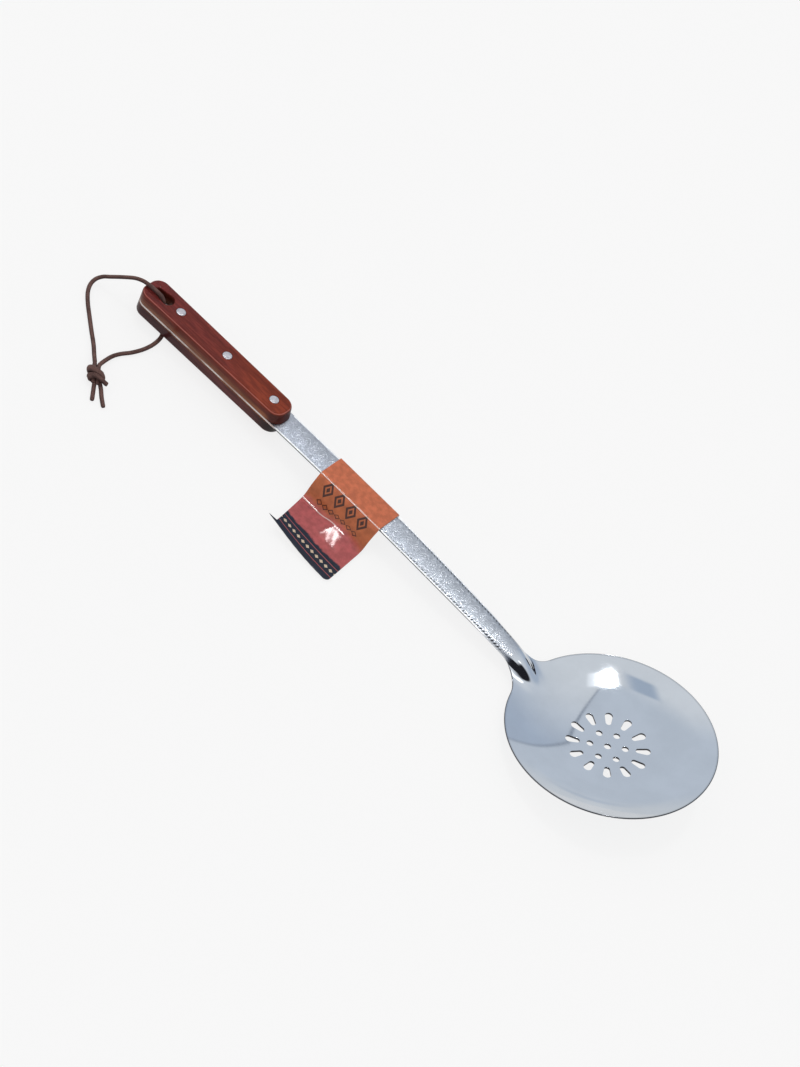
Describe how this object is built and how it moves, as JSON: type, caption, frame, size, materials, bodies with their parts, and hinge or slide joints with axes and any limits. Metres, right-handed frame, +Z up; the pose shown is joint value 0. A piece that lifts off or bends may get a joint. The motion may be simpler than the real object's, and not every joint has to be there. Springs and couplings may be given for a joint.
{
  "type": "skimmer",
  "caption": "Long-handled kitchen skimmer: a perforated round steel bowl on a flat shank, with a riveted wooden grip, a knotted leather lace and a card sleeve.",
  "frame": {"origin": "on the ground below the middle of the tool, which lies on its bowl and on the lace under its grip", "axes": "+X from the grip towards the bowl, +Y to the left seen from the grip, +Z up"},
  "size_m": [0.4945, 0.1485, 0.034],
  "materials": {
    "polished_steel": "mirror polished in the bowl, embossed satin on the shank",
    "lacquered_wood": "reddish brown, clear satin lacquer",
    "rivet_metal": "bright, ground flush",
    "printed_card": "gloss film over a colour print",
    "brown_leather": "plain dyed thong"
  },
  "bodies": {
    "skimmer": {"blade": "polished_steel", "upper_scale": "lacquered_wood", "lower_scale": "lacquered_wood", "rear_rivet_top": "rivet_metal", "middle_rivet_top": "rivet_metal", "front_rivet_top": "rivet_metal", "rear_rivet_base": "rivet_metal", "middle_rivet_base": "rivet_metal", "front_rivet_base": "rivet_metal", "lace_over": "brown_leather", "lace_under": "brown_leather", "lace_knot": "brown_leather", "lace_tail_long": "brown_leather", "lace_tail_short": "brown_leather"},
    "sleeve": {"label_sleeve": "printed_card"}
  },
  "joints": [
    {"name": "sleeve_slide", "type": "slide", "parent": "skimmer", "child": "sleeve", "axis": [1, 0, -0.0073], "range_m": [-0.038, 0.06]}
  ]
}
